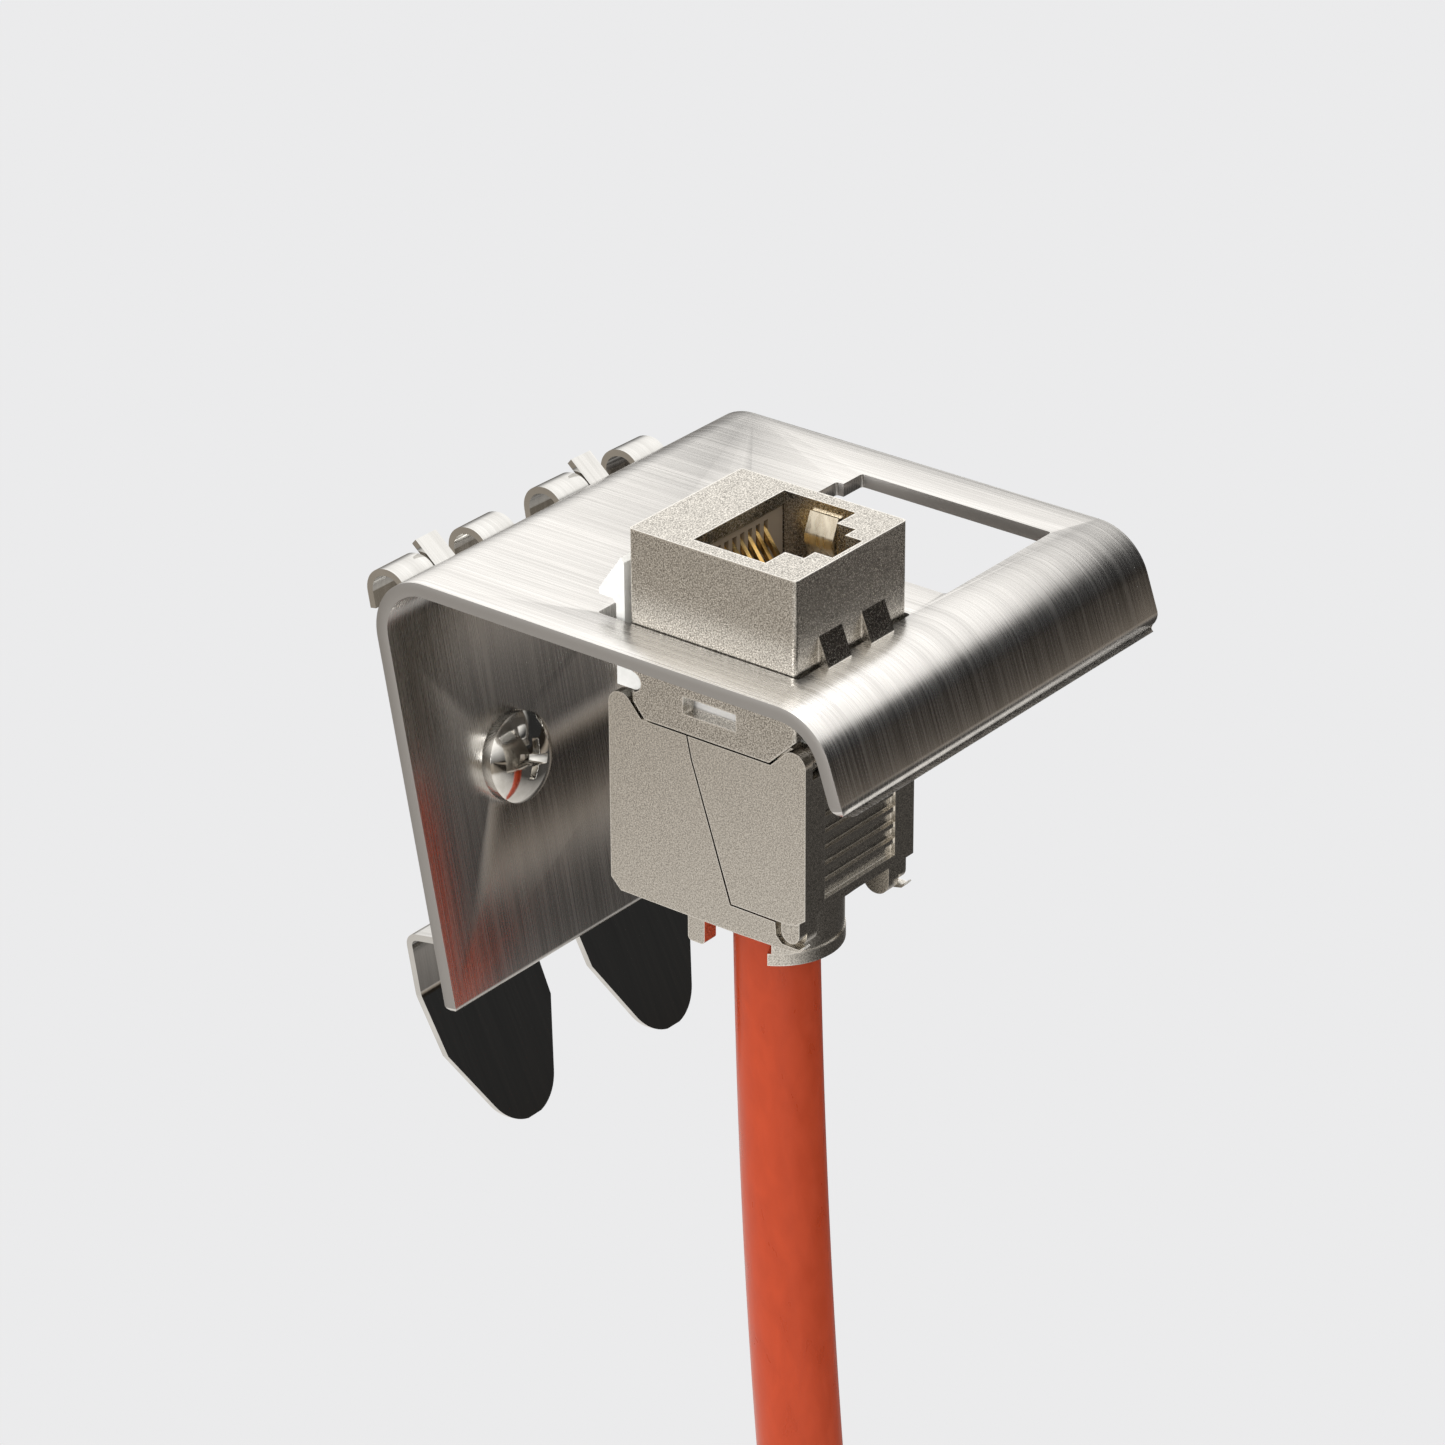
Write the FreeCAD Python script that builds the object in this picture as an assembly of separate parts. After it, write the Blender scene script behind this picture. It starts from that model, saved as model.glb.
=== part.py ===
import FreeCAD, Part
import math
import os

os.makedirs("parts", exist_ok=True)

# Object frame, in mm: X runs along the rail, +Z is up the rail's face, and the
# rail's front face is the plane Y = 0 with the rail behind it. The origin is
# the middle of the 35 mm rail that the clips hold.

# Standard sizes that the product is made to fit
rail_height = 35.0
rail_flange = 1.0
keystone_pitch = 19.5
jack_width = 14.5
jack_depth = 16.5

# Bracket: one strip of 1.2 mm stainless sheet, bent twice
sheet = 1.2
bracket_width = 43.5
bend_inside = 4.0
port_tilt = 10.5
corner_above_rail = 3.4
shelf_length = 45.9
back_height = 39.9
lip_length = 8.4
lip_lean = 19.0
lip_corner = 1.3
back_corner = 0.6

# Keystone cut-outs, measured forward from the shelf's rear corner
cutout_play = 0.15
cutout_front = 40.6
cutout_rear = 21.3
latch_notch_rear = 20.6
latch_notch_step = 2.6
cutout_corner = 0.3

# Rail clips: spring steel, one behind each keystone position. Each clip turns a
# little on its screw, as the photograph shows the right one
clip_sheet = 0.6
clip_spots = (-10.4, 9.45)
clip_turns = (0.0, 1.0)
clip_width = 14.3
hook_width = 4.0
hook_top = 18.8
hook_out = 4.4
hook_leg = 15.2
tab_left = -2.95
tab_right = -0.4
tab_root = 16.6
tab_knee = 17.3
tab_top = 19.7
tab_out = 2.3
tab_bend = 1.2
foot_gap = 0.4
foot_reach = 3.0
catch_height = 3.4
catch_bend = 0.9
tongue_back = 6.5
tongue_knee = 20.3
tongue_front = 2.65
tongue_tip = 34.1
tongue_shoulder = 25.9
shoulder_half = 6.85
tip_radius = 4.4
tip_taper = 27.0
nut_width = 6.4
nut_height = 1.8

# Screws: M4 pan head with a cross recess
thread_d = 4.0
thread_play = 0.1
screw_hole = 4.4
screw_shift = 0.65
screw_drop = 0.35
head_d = 7.8
head_height = 2.6
head_rim = 1.0
screw_reach = 4.6
recess_d = 4.6
recess_depth = 1.7
recess_slot = 1.1
recess_turn = 20

# Jack head, measured up from the shelf's top face and forward from its rear face
jack_above = 8.2
jack_below = 8.2
jack_setback = 23.75
jack_edge = 0.35
front_cut = 2.6
rear_cut = 1.4
rear_cut_height = 1.6
front_cut_height = 2.55
port_wall = 1.4
port_rear = 5.4
port_front = 12.5
step_width = 6.7
step_front = 14.35
slot_width = 3.9
slot_front = 16.05
port_floor = -5.2
roof = 1.2
rear_wall = 1.2
tooth_width = 3.0
tooth_top = 2.45
tooth_out = 1.0
tooth_spots = (-4.3, 1.3)
window_rear = 5.3
window_front = 10.6
window_top = -5.0
window_height = 1.5

# Keystone latch lever, white plastic
latch_inset = 0.25
latch_short = 2.9
latch_gap = 0.7
latch_thick = 0.85
latch_tip = 5.2
nose_out = 3.3
nose_low = 1.45
nose_high = 2.0
latch_axis = (0.15, -5.2)
latch_barrel = 0.8
latch_root = 0.8
play = 0.1

# Contact carrier, contacts and shield springs inside the port
contact_count = 8
contact_pitch = 1.02
wire = 0.4
comb_slot = 0.55
comb_depth = 1.9
contact_path = ((4.3, -8.35), (4.3, 5.6), (4.75, 5.9), (8.9, 0.3))
spring_sheet = 0.25
spring_rear = 8.2
spring_front = 11.0
spring_bulge = 0.75

# Rear half of the jack: two hinged die-cast wings round the termination block
wing_wall = 0.9
wing_gap = 0.15
body_rear = -2.3
body_front = 17.5
body_low = -24.6
rear_axis = (-1.1, -7.7)
front_axis = (16.3, -7.8)
ear = 1.2
pin_d = 1.0
pin_skin = 0.4
lug_reach = 1.2
seam = ((5.6, -8.35), (6.05, -10.35), (9.95, -22.25), (14.5, -22.25))
front_low = -21.9
arm_notch = -24.0
front_floor = 1.5
floor_arch = 22.0
arch_rise = 0.75
nub_r = 1.3
nub_spot = (15.55, -23.2)
nub_inset = 1.1
nub_length = 1.35
stub_spot = (15.95, -22.85)
stub_r = 0.9
rib_count = 6
rib_pitch = 1.45
rib_first = -19.0
rib_height = 0.4
panel_inset = 2.55
panel_top = -10.9
panel_low = -20.3
panel_depth = 0.45
post_inset = 1.75
post_forward = 5.7
arm_depth = 1.5
post_side = 1.5
post_deep = 1.7
post_low = -27.5

# Cable: shielded installation cable of 7.4 mm, and what its ends show
cable_d = 7.4
cable_front = 9.0
cable_start = -19.6
pair_gap = 0.02
inner_pair_d = 1.6
collar_out = 5.65
collar_low = -27.1
ring_low = -28.2
ring_r = 5.5
ring_ahead = 0.3
collar_spread = 56.0
ring_spread = 62.0
run_lengths = (34, 60, 60)
run_leans = (0.6, 3.4, 4.2)
run_sways = (0, 1.6, -0.8)
braid_d = 8.0
braid_fold = 9.0
pair_d = 2.1
pair_ring = 1.55
pair_out = 17.0
core_d = 1.0
core_out = 7.0

# Termination block between the wings
board_thick = 0.9
block_low = -14.6
cap_low = -19.2
block_rear = 1.4
block_front = 14.6
block_gap = 0.45
blade_rows = (3.6, 12.4)
blade_count = 4
blade_pitch = 2.6

tilt = math.radians(port_tilt)
lean = math.radians(lip_lean)
back_face = -clip_sheet
corner_z = rail_height / 2 + corner_above_rail
screw_spots = [x + screw_shift for x in clip_spots]
port_spots = [side * keystone_pitch / 2 for side in (-1, 1)]
half_jack = jack_width / 2

# What lines up with the jack's width takes its place from it
cutout_width = jack_width + 2 * cutout_play
port_width = jack_width - 2 * port_wall
latch_left = latch_inset - half_jack
latch_wide = jack_width - latch_short
nub_outer = half_jack - nub_inset
panel_half = half_jack - panel_inset
post_out = half_jack - post_inset
block_half = half_jack - wing_wall - block_gap


def vec(x, y, z):
    return FreeCAD.Vector(x, y, z)


def on_shelf(shape):
    """Tilt a shape from the shelf's own frame into place on the bracket."""
    moved = shape.copy()
    moved.rotate(vec(0, 0, 0), vec(1, 0, 0), port_tilt)
    moved.translate(vec(0, back_face, corner_z))
    return moved


def on_jack(shape):
    """Move a shape from the jack's frame to the fitted jack's place."""
    moved = shape.copy()
    moved.translate(vec(port_spots[0], -jack_setback, 0))
    return on_shelf(moved)


def shelf_point(forward, up):
    """World Y and Z of a point given forward along and up from the shelf."""
    y = back_face - forward * math.cos(tilt) - up * math.sin(tilt)
    z = corner_z - forward * math.sin(tilt) + up * math.cos(tilt)
    return y, z


def block(x0, x1, f0, f1, u0, u1):
    """A box across X, forward from f0 to f1 and up from u0 to u1."""
    return Part.makeBox(x1 - x0, f1 - f0, u1 - u0, vec(x0, -f1, u0))


def prism(outline, x0, x1):
    """Extrude an outline of (forward, up) points from x0 to x1."""
    points = [vec(x0, -f, u) for f, u in outline]
    face = Part.Face(Part.makePolygon(points + points[:1]))
    return face.extrude(vec(x1 - x0, 0, 0))


def rod(spot, radius, x0, x1):
    """A round bar along X through a (forward, up) spot."""
    return Part.makeCylinder(radius, x1 - x0, vec(x0, -spot[0], spot[1]), vec(1, 0, 0))


def post(x, forward, radius, low, high):
    """A round bar along the jack's axis."""
    return Part.makeCylinder(radius, high - low, vec(x, -forward, low), vec(0, 0, 1))


def fuse(shapes):
    whole = shapes[0]
    for other in shapes[1:]:
        whole = whole.fuse(other)
    return whole.removeSplitter()


def mirror_x(shape):
    return shape.mirror(vec(0, 0, 0), vec(1, 0, 0))


def crossing(a, along_a, b, along_b):
    """Where two lines in the YZ plane meet."""
    det = along_a[0] * along_b[1] - along_a[1] * along_b[0]
    t = ((b[0] - a[0]) * along_b[1] - (b[1] - a[1]) * along_b[0]) / det
    return a[0] + t * along_a[0], a[1] + t * along_a[1]


def strip(path, radii, thickness, x0, x1):
    """A bent strip: its middle line runs through (y, z) points with a radius at each bend."""
    pts = [vec(x0, y, z) for y, z in path]
    sides = {1: [], -1: []}
    half = thickness / 2
    for side, edges in sides.items():
        along = (pts[1] - pts[0]).normalize()
        last = pts[0] + vec(0, -along.z, along.y) * (side * half)
        for i in range(1, len(pts) - 1):
            into = (pts[i] - pts[i - 1]).normalize()
            out = (pts[i + 1] - pts[i]).normalize()
            turn = math.atan2(into.y * out.z - into.z * out.y, into.dot(out))
            hand = 1 if turn > 0 else -1
            reach = radii[i - 1] * math.tan(abs(turn) / 2)
            centre = pts[i] - into * reach + vec(0, -into.z, into.y) * (hand * radii[i - 1])
            radius = radii[i - 1] - side * hand * half
            first = centre + (pts[i] - into * reach - centre).normalize() * radius
            middle = centre + (pts[i] - centre).normalize() * radius
            end = centre + (pts[i] + out * reach - centre).normalize() * radius
            edges.append(Part.LineSegment(last, first).toShape())
            edges.append(Part.Arc(first, middle, end).toShape())
            last = end
        along = (pts[-1] - pts[-2]).normalize()
        end = pts[-1] + vec(0, -along.z, along.y) * (side * half)
        edges.append(Part.LineSegment(last, end).toShape())
    left, right = sides[1], sides[-1]
    caps = [
        Part.LineSegment(left[0].Vertexes[0].Point, right[0].Vertexes[0].Point).toShape(),
        Part.LineSegment(left[-1].Vertexes[-1].Point, right[-1].Vertexes[-1].Point).toShape(),
    ]
    wire = Part.Wire(Part.__sortEdges__(left + right + caps))
    return Part.Face(wire).extrude(vec(x1 - x0, 0, 0))


def rounded(shape, radius, wanted):
    """Fillet the edges that a test picks out."""
    edges = [e for e in shape.Edges if wanted(e)]
    return shape.makeFillet(radius, edges) if edges else shape


def short_edge_at(edge, length, low, high):
    """An edge of a sheet's thickness, whose middle lies between two heights."""
    middle = edge.CenterOfMass
    return abs(edge.Length - length) < length / 20 and low < middle.z < high


# The bracket's middle line: up the back, along the shelf and down the lip
half_sheet = sheet / 2
down_lip = (-math.sin(lean + tilt), 0)
shelf_along = (-math.cos(tilt), -math.sin(tilt))
lip_along = (-math.sin(lean - tilt), -math.cos(lean - tilt))
lip_inward = (math.cos(lean - tilt), -math.sin(lean - tilt))
shelf_middle = shelf_point(0, -half_sheet)
lip_corner_at = shelf_point(shelf_length, 0)
lip_middle = (lip_corner_at[0] + half_sheet * lip_inward[0], lip_corner_at[1] + half_sheet * lip_inward[1])
rear_bend = crossing((back_face - half_sheet, 0), (0, 1), shelf_middle, shelf_along)
front_bend = crossing(shelf_middle, shelf_along, lip_middle, lip_along)
bracket_path = [
    (back_face - half_sheet, corner_z - back_height),
    rear_bend,
    front_bend,
    (lip_middle[0] + lip_length * lip_along[0], lip_middle[1] + lip_length * lip_along[1]),
]
bend_middle = bend_inside + half_sheet
bracket = strip(bracket_path, [bend_middle, bend_middle], sheet, -bracket_width / 2, bracket_width / 2)
lip_end = bracket_path[-1][1]
back_end = bracket_path[0][1]
bracket = rounded(
    bracket,
    lip_corner,
    lambda e: short_edge_at(e, sheet, lip_end - 1, lip_end + 1) and abs(e.CenterOfMass.x) > bracket_width / 3,
)
bracket = rounded(
    bracket,
    back_corner,
    lambda e: short_edge_at(e, sheet, back_end - 1, back_end + 1) and abs(e.CenterOfMass.x) > bracket_width / 3,
)

# Two keystone cut-outs through the shelf, each with its latch notch at the rear
for x in port_spots:
    left = x - cutout_width / 2
    hole = block(left, left + cutout_width, cutout_rear, cutout_front, -2 * sheet, sheet)
    notch = block(left, left + cutout_width - latch_notch_step, latch_notch_rear, cutout_front, -2 * sheet, sheet)
    hole = hole.fuse(notch).removeSplitter()
    hole = rounded(hole, cutout_corner, lambda e: abs(e.Length - 3 * sheet) < 0.01)
    bracket = bracket.cut(on_shelf(hole))

# A clearance hole behind each clip's screw
for x in screw_spots:
    drill = Part.makeCylinder(screw_hole / 2, 3 * sheet, vec(x, back_face + sheet / 2, -screw_drop), vec(0, -1, 0))
    bracket = bracket.cut(drill)


def rail_clip(x, hole_x, turn):
    """One spring clip: two hooks and a tab over the rail's top edge, a catch and a tongue below."""
    middle = -clip_sheet / 2
    hook_middle = hook_top - clip_sheet / 2
    hook_rear = back_face + hook_out - clip_sheet / 2
    hook_bend = (hook_rear - middle) / 2 - play
    foot = -rail_height / 2 - foot_gap - clip_sheet / 2
    catch = foot + catch_height
    half = clip_width / 2
    spine_path = [
        (middle, tab_root),
        (middle, foot),
        (middle + foot_reach, foot),
        (middle + foot_reach, catch),
        (tongue_back, catch),
        (tongue_back, -tongue_knee),
        (tongue_front, -tongue_tip),
    ]
    spine = strip(spine_path, [catch_bend, catch_bend, catch_bend, catch_bend, 3 * catch_bend], clip_sheet, x - half, x + half)
    # The tongue's outline: parallel sides, then a taper into a round tip
    taper = math.radians(tip_taper)
    tip_centre = tip_radius - tongue_tip
    touch = vec(tip_radius * math.cos(taper), 0, tip_centre - tip_radius * math.sin(taper))
    beyond = 3 * tongue_back
    right = [vec(half, 0, clip_sheet), vec(half, 0, -tongue_knee), vec(shoulder_half, 0, -tongue_shoulder), touch]
    left = [vec(-p.x, 0, p.z) for p in reversed(right)]
    edges = [Part.LineSegment(p, q).toShape() for p, q in zip(right, right[1:])]
    edges.append(Part.Arc(touch, vec(0, 0, -tongue_tip), left[0]).toShape())
    edges += [Part.LineSegment(p, q).toShape() for p, q in zip(left, left[1:] + right[:1])]
    keep = Part.Face(Part.Wire(edges)).extrude(vec(0, beyond, 0))
    keep.translate(vec(x, clip_sheet, 0))
    below = Part.makeBox(2 * clip_width, beyond, rail_height, vec(x - clip_width, clip_sheet, -rail_height - tongue_knee))
    parts = [spine.cut(below.cut(keep))]
    hook_path = [(middle, tab_root), (middle, hook_middle), (hook_rear, hook_middle), (hook_rear, hook_leg)]
    for side in (-1, 1):
        x0, x1 = sorted((x + side * half, x + side * (half - hook_width)))
        parts.append(strip(hook_path, [hook_bend, hook_bend], clip_sheet, x0, x1))
    tab_path = [(middle, tab_root), (middle, tab_knee), (back_face + tab_out, tab_top)]
    parts.append(strip(tab_path, [tab_bend], clip_sheet, x + tab_left, x + tab_right))
    parts.append(Part.makeBox(nut_width, nut_height, nut_width, vec(hole_x - nut_width / 2, middle, -screw_drop - nut_width / 2)))
    clip = fuse(parts)
    bore = thread_d / 2 + thread_play / 2
    clip = clip.cut(Part.makeCylinder(bore, 4 * nut_height, vec(hole_x, -2 * clip_sheet, -screw_drop), vec(0, 1, 0)))
    clip.rotate(vec(hole_x, 0, -screw_drop), vec(0, 1, 0), turn)
    return clip


def screw(x):
    """A pan-head machine screw along Y, its head against the bracket's front face."""
    face = back_face - sheet
    rim = vec(head_d / 2, 0, head_rim)
    crown = vec(0, 0, head_height)
    rise = head_height - head_rim
    dome_r = (rim.x**2 + rise**2) / (2 * rise)
    shoulder = vec(rim.x / 2, 0, head_height - dome_r + math.sqrt(dome_r**2 - rim.x**2 / 4))
    edges = [
        Part.LineSegment(vec(0, 0, 0), vec(head_d / 2, 0, 0)).toShape(),
        Part.LineSegment(vec(head_d / 2, 0, 0), rim).toShape(),
        Part.Arc(rim, shoulder, crown).toShape(),
        Part.LineSegment(crown, vec(0, 0, 0)).toShape(),
    ]
    head = Part.Face(Part.Wire(edges)).revolve(vec(0, 0, 0), vec(0, 0, 1), 360)
    recess_floor = head_height - recess_depth
    slot = Part.makeBox(recess_d, recess_slot, head_height, vec(-recess_d / 2, -recess_slot / 2, recess_floor))
    slot.rotate(vec(0, 0, 0), vec(0, 0, 1), recess_turn)
    across = slot.copy()
    across.rotate(vec(0, 0, 0), vec(0, 0, 1), 90)
    recess = slot.fuse(across)
    head = head.cut(recess)
    shank_d = thread_d - thread_play
    length = screw_reach - face
    shank = Part.makeCylinder(shank_d / 2, length, vec(0, 0, 0), vec(0, 0, -1))
    whole = fuse([head, shank])
    whole.rotate(vec(0, 0, 0), vec(1, 0, 0), 90)
    whole.translate(vec(x, face, -screw_drop))
    return whole


clip_left, clip_right = [rail_clip(x, hole, turn) for x, hole, turn in zip(clip_spots, screw_spots, clip_turns)]
screw_left, screw_right = [screw(x) for x in screw_spots]

# The jack's front housing: a die-cast block round the port, cut at its lower corners
# for the wings' hinges. Every jack part is drawn in the jack's frame, forward from
# its rear face and up from the shelf, and on_jack tilts it into place.
front_edge = jack_depth
housing_outline = [
    (0, jack_above),
    (front_edge, jack_above),
    (front_edge, -jack_below + front_cut_height),
    (front_edge - front_cut, -jack_below),
    (rear_cut, -jack_below),
    (0, -jack_below + rear_cut_height),
]
housing = prism(housing_outline, -half_jack, half_jack)
housing = rounded(housing, jack_edge, lambda e: abs(abs(e.CenterOfMass.x) - half_jack) < 0.01 and e.CenterOfMass.z > 0 and e.BoundBox.ZLength > jack_above)
port = fuse(
    [
        block(-port_width / 2, port_width / 2, port_rear, port_front, -2 * jack_below, 2 * jack_above),
        block(-step_width / 2, step_width / 2, port_rear, step_front, -2 * jack_below, 2 * jack_above),
        block(-slot_width / 2, slot_width / 2, port_rear, slot_front, port_floor, 2 * jack_above),
    ]
)
cavity = block(-port_width / 2, port_width / 2, rear_wall, port_rear, -2 * jack_below, jack_above - roof)
window = block(-jack_width, jack_width, window_rear, window_front, window_top - window_height, window_top)
housing = housing.cut(port).cut(cavity).cut(window)
housing = housing.cut(rod(latch_axis, latch_barrel + play, -half_jack, half_jack))
for x in tooth_spots:
    outline = [(front_edge - 0.2, tooth_top), (front_edge, tooth_top), (front_edge + tooth_out, 0), (front_edge - 0.2, 0)]
    housing = housing.fuse(prism(outline, x, x + tooth_width))

# Lugs under the housing carry the two hinge pins, inside the wings' ears
lug_in = half_jack - wing_wall - wing_gap
for spot, inner in ((rear_axis, rear_cut + 0.6), (front_axis, front_edge - front_cut - 0.6)):
    for side in (-1, 1):
        x0, x1 = sorted((side * lug_in, side * (lug_in - 1.3)))
        eye = rod(spot, ear - 0.2, x0, x1)
        web = [(spot[0], spot[1] + ear - 0.25), (spot[0], spot[1] - 0.6), (inner, -jack_below), (inner, -jack_below + lug_reach)]
        housing = housing.fuse(eye.fuse(prism(web, x0, x1)))
    housing = housing.cut(rod(spot, pin_d / 2, -half_jack, half_jack))
housing = housing.removeSplitter()
pin_half = half_jack - pin_skin - play
hinge_pin_rear = rod(rear_axis, pin_d / 2 - 0.02, -pin_half, pin_half)
hinge_pin_front = rod(front_axis, pin_d / 2 - 0.02, -pin_half, pin_half)

# The keystone latch: a lever on a barrel in the housing's rear groove, with a nose
# over the cut-out's rear edge and a thumb ramp above it
lever_outline = [
    (-latch_gap, latch_axis[1]),
    (-latch_gap, latch_tip - 0.35),
    (-latch_gap - 0.35, latch_tip),
    (-nose_out, nose_high),
    (-nose_out, nose_low),
    (-latch_gap - latch_thick - 0.4, nose_low),
    (-latch_gap - latch_thick, nose_low - 0.4),
    (-latch_gap - latch_thick, latch_axis[1]),
]
latch_right = latch_left + latch_wide
latch = prism(lever_outline, latch_left, latch_right)
root = block(latch_left, latch_right, play, latch_gap + latch_thick, 0, 2 * latch_root)
root.translate(vec(0, latch_gap + latch_thick + play, latch_axis[1] - latch_root))
latch = fuse([latch, root, rod(latch_axis, latch_barrel, latch_left, latch_right)])

# White carrier behind and under the port, with a comb slot for each contact
inside = port_width / 2 - play
carrier_low = -jack_below + lug_reach + play
carrier = fuse(
    [
        block(-inside, inside, rear_wall + play, port_rear - play, carrier_low, jack_above - roof - play),
        block(-inside, inside, rear_wall + play, port_front - play, carrier_low, port_floor),
    ]
)
contact_spots = [(k - (contact_count - 1) / 2) * contact_pitch for k in range(contact_count)]
for x in contact_spots:
    slot = block(x - comb_slot / 2, x + comb_slot / 2, port_rear - comb_depth, 2 * port_front, port_floor, jack_above - roof - 0.6)
    slot = slot.fuse(block(x - comb_slot / 2, x + comb_slot / 2, port_rear - comb_depth, port_rear, -2 * jack_below, 0))
    carrier = carrier.cut(slot)


def mitred(path, thickness):
    """The outline of a thin wire along a path of straight runs, with mitred bends."""
    points = [vec(f, u, 0) for f, u in path]
    ways = [(q - p).normalize() for p, q in zip(points, points[1:])]
    half = thickness / 2
    sides = [vec(-w.y, w.x, 0) * half for w in ways]
    shifts = [sides[0]]
    for before, after in zip(sides, sides[1:]):
        shifts.append((before + after) * (half**2 / (half**2 + before.dot(after))))
    shifts.append(sides[-1])
    left = [p + shift for p, shift in zip(points, shifts)]
    right = [p - shift for p, shift in zip(points, shifts)]
    return [(p.x, p.y) for p in left + right[::-1]]


contact_outline = mitred(contact_path, wire)
contacts = Part.makeCompound([prism(contact_outline, x - wire / 2, x + wire / 2) for x in contact_spots])


def shield_spring(side):
    """A bowed spring finger on the port's side wall."""
    wall = port_width / 2 - spring_sheet / 2 - 0.05
    path = [(wall, 7.3), (wall - spring_bulge, 5.6), (wall - spring_bulge, 4.9), (wall, 3.2), (wall, port_floor + 0.3)]
    flat = strip(path, [0.7, 0.5, 1.5], spring_sheet, 0, spring_front - spring_rear)
    flat.rotate(vec(0, 0, 0), vec(0, 0, 1), -90)
    flat.translate(vec(0, -spring_rear, 0))
    return flat if side > 0 else mirror_x(flat)


spring_right = shield_spring(1)
spring_left = shield_spring(-1)

# Circuit board, termination block, its eight blades and the lacing cap
core = block_half
board_top = -jack_below - 0.2
board = block(-core, core, block_rear + 0.6, block_front - 2.0, board_top - board_thick, board_top)
idc_block = block(-core, core, block_rear + 0.6, block_front - 0.8, block_low, board_top - board_thick)
cap = block(-core, core, block_rear, block_front, cap_low, block_low)
blade_spots = [(k - (blade_count - 1) / 2) * blade_pitch for k in range(blade_count)]
blades = []
for f in blade_rows:
    for x in blade_spots:
        blade = block(x - 0.2, x + 0.2, f - 0.9, f + 0.9, block_low - 2.0, block_low + 2.5)
        pocket = block(x - 0.35, x + 0.35, f - 1.05, f + 1.05, block_low - 2.2, block_low + 2.5)
        blades.append(blade)
        idc_block = idc_block.cut(pocket)
        cap = cap.cut(pocket)
        wire_slot = block(x - 0.6, x + 0.6, f - 3.0 if f < cable_front else f, f if f < cable_front else f + 3.0, cap_low - 1, cap_low + 2.0)
        cap = cap.cut(wire_slot)
cap = cap.cut(post(0, cable_front - 1.0, 2.9, cap_low - 1, block_low - 0.2 + 0.4))
idc_blades = Part.makeCompound(blades)

# Rear wing: the rail side of the rear half, whose two arms run under the front wing
outer = half_jack
inner = half_jack - wing_wall
rear_slope = math.atan2(rear_cut, rear_cut_height)
rear_touch = (rear_axis[0] + ear * math.cos(rear_slope), rear_axis[1] + ear * math.sin(rear_slope))
rear_outline = [
    (body_rear, rear_axis[1]),
    (rear_axis[0], rear_axis[1]),
    rear_touch,
    (rear_touch[0] + (rear_touch[1] + jack_below + wing_gap) * rear_cut / rear_cut_height, -jack_below - wing_gap),
    seam[0],
    seam[1],
    seam[2],
    seam[3],
    (seam[3][0] + 0.1, arm_notch + 0.6),
    (seam[3][0] + 0.7, arm_notch),
    (body_front - 0.6, arm_notch),
    (body_front - 0.25, arm_notch + 0.3),
    (body_front - 0.15, arm_notch + 0.2),
    (body_front - 0.5, arm_notch - 0.2),
    (body_front - 1.6, body_low + 0.15),
    (body_front - 7.0, body_low),
    (body_rear + 1.0, body_low),
    (body_rear, body_low + 1.0),
]
shell = prism(rear_outline, -outer, outer)
hollow = prism(
    [
        (body_rear + wing_wall, 0),
        (30, 0),
        (30, -40),
        (body_front - arm_depth, -40),
        (body_front - arm_depth, body_low + wing_wall),
        (body_rear + wing_wall, body_low + wing_wall),
    ],
    -inner,
    inner,
)
wing_rear = shell.cut(hollow)
wing_rear = wing_rear.cut(block(-inner, inner, 10.0, 30, -40, 0))
wing_rear = wing_rear.cut(block(-inner, inner, -10, 30, rear_axis[1] - ear, 0))
slot_r = cable_d / 2 + 0.25
wing_rear = wing_rear.cut(post(0, cable_front, slot_r, body_low - 1, 0).fuse(block(-slot_r, slot_r, cable_front, 30, body_low - 1, 0)))
for side in (-1, 1):
    x0, x1 = sorted((side * outer, side * inner))
    wing_rear = wing_rear.fuse(rod(rear_axis, ear, x0, x1))
    x0 = side * post_out - post_side / 2
    f0 = post_forward - post_deep / 2
    foot_post = block(x0, x0 + post_side, f0, f0 + post_deep, post_low, body_low + wing_wall / 2)
    foot_post = rounded(foot_post, post_side / 4, lambda e: abs(e.Length - post_side) < 0.01 and e.CenterOfMass.z < post_low + 0.1)
    wing_rear = wing_rear.fuse(foot_post)
pin_bore = rod(rear_axis, pin_d / 2 + 0.03, -half_jack + pin_skin, half_jack - pin_skin)
wing_rear = wing_rear.cut(pin_bore).removeSplitter()

# Front wing: the lip side, with a ribbed panel, two snap nubs and the half collar
# that clamps the cable's screen
shift = wing_gap
front_slope = math.atan2(front_cut, front_cut_height)
front_touch = (front_axis[0] - ear * math.cos(front_slope), front_axis[1] + ear * math.sin(front_slope))
front_outline = [
    (body_front, front_axis[1]),
    (front_axis[0], front_axis[1]),
    front_touch,
    (front_touch[0] - (front_touch[1] + jack_below + wing_gap) * front_cut / front_cut_height, -jack_below - wing_gap),
    (seam[0][0] + shift, seam[0][1]),
    (seam[1][0] + shift, seam[1][1]),
    (seam[2][0] + shift, seam[2][1] + shift),
    (seam[3][0] + 1.0, seam[3][1] + shift),
    (body_front - 0.9, front_low),
    (body_front, front_low + 0.7),
]
shell = prism(front_outline, -outer, outer)
hollow = block(-inner, inner, -10, body_front - wing_wall, front_low + front_floor, 0)
wing_front = shell.cut(hollow)
wing_front = wing_front.cut(block(-inner, inner, -10, 30, front_axis[1] - ear, 0))
wing_front = wing_front.cut(block(-inner, inner, -10, cable_front, -40, 0))
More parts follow.
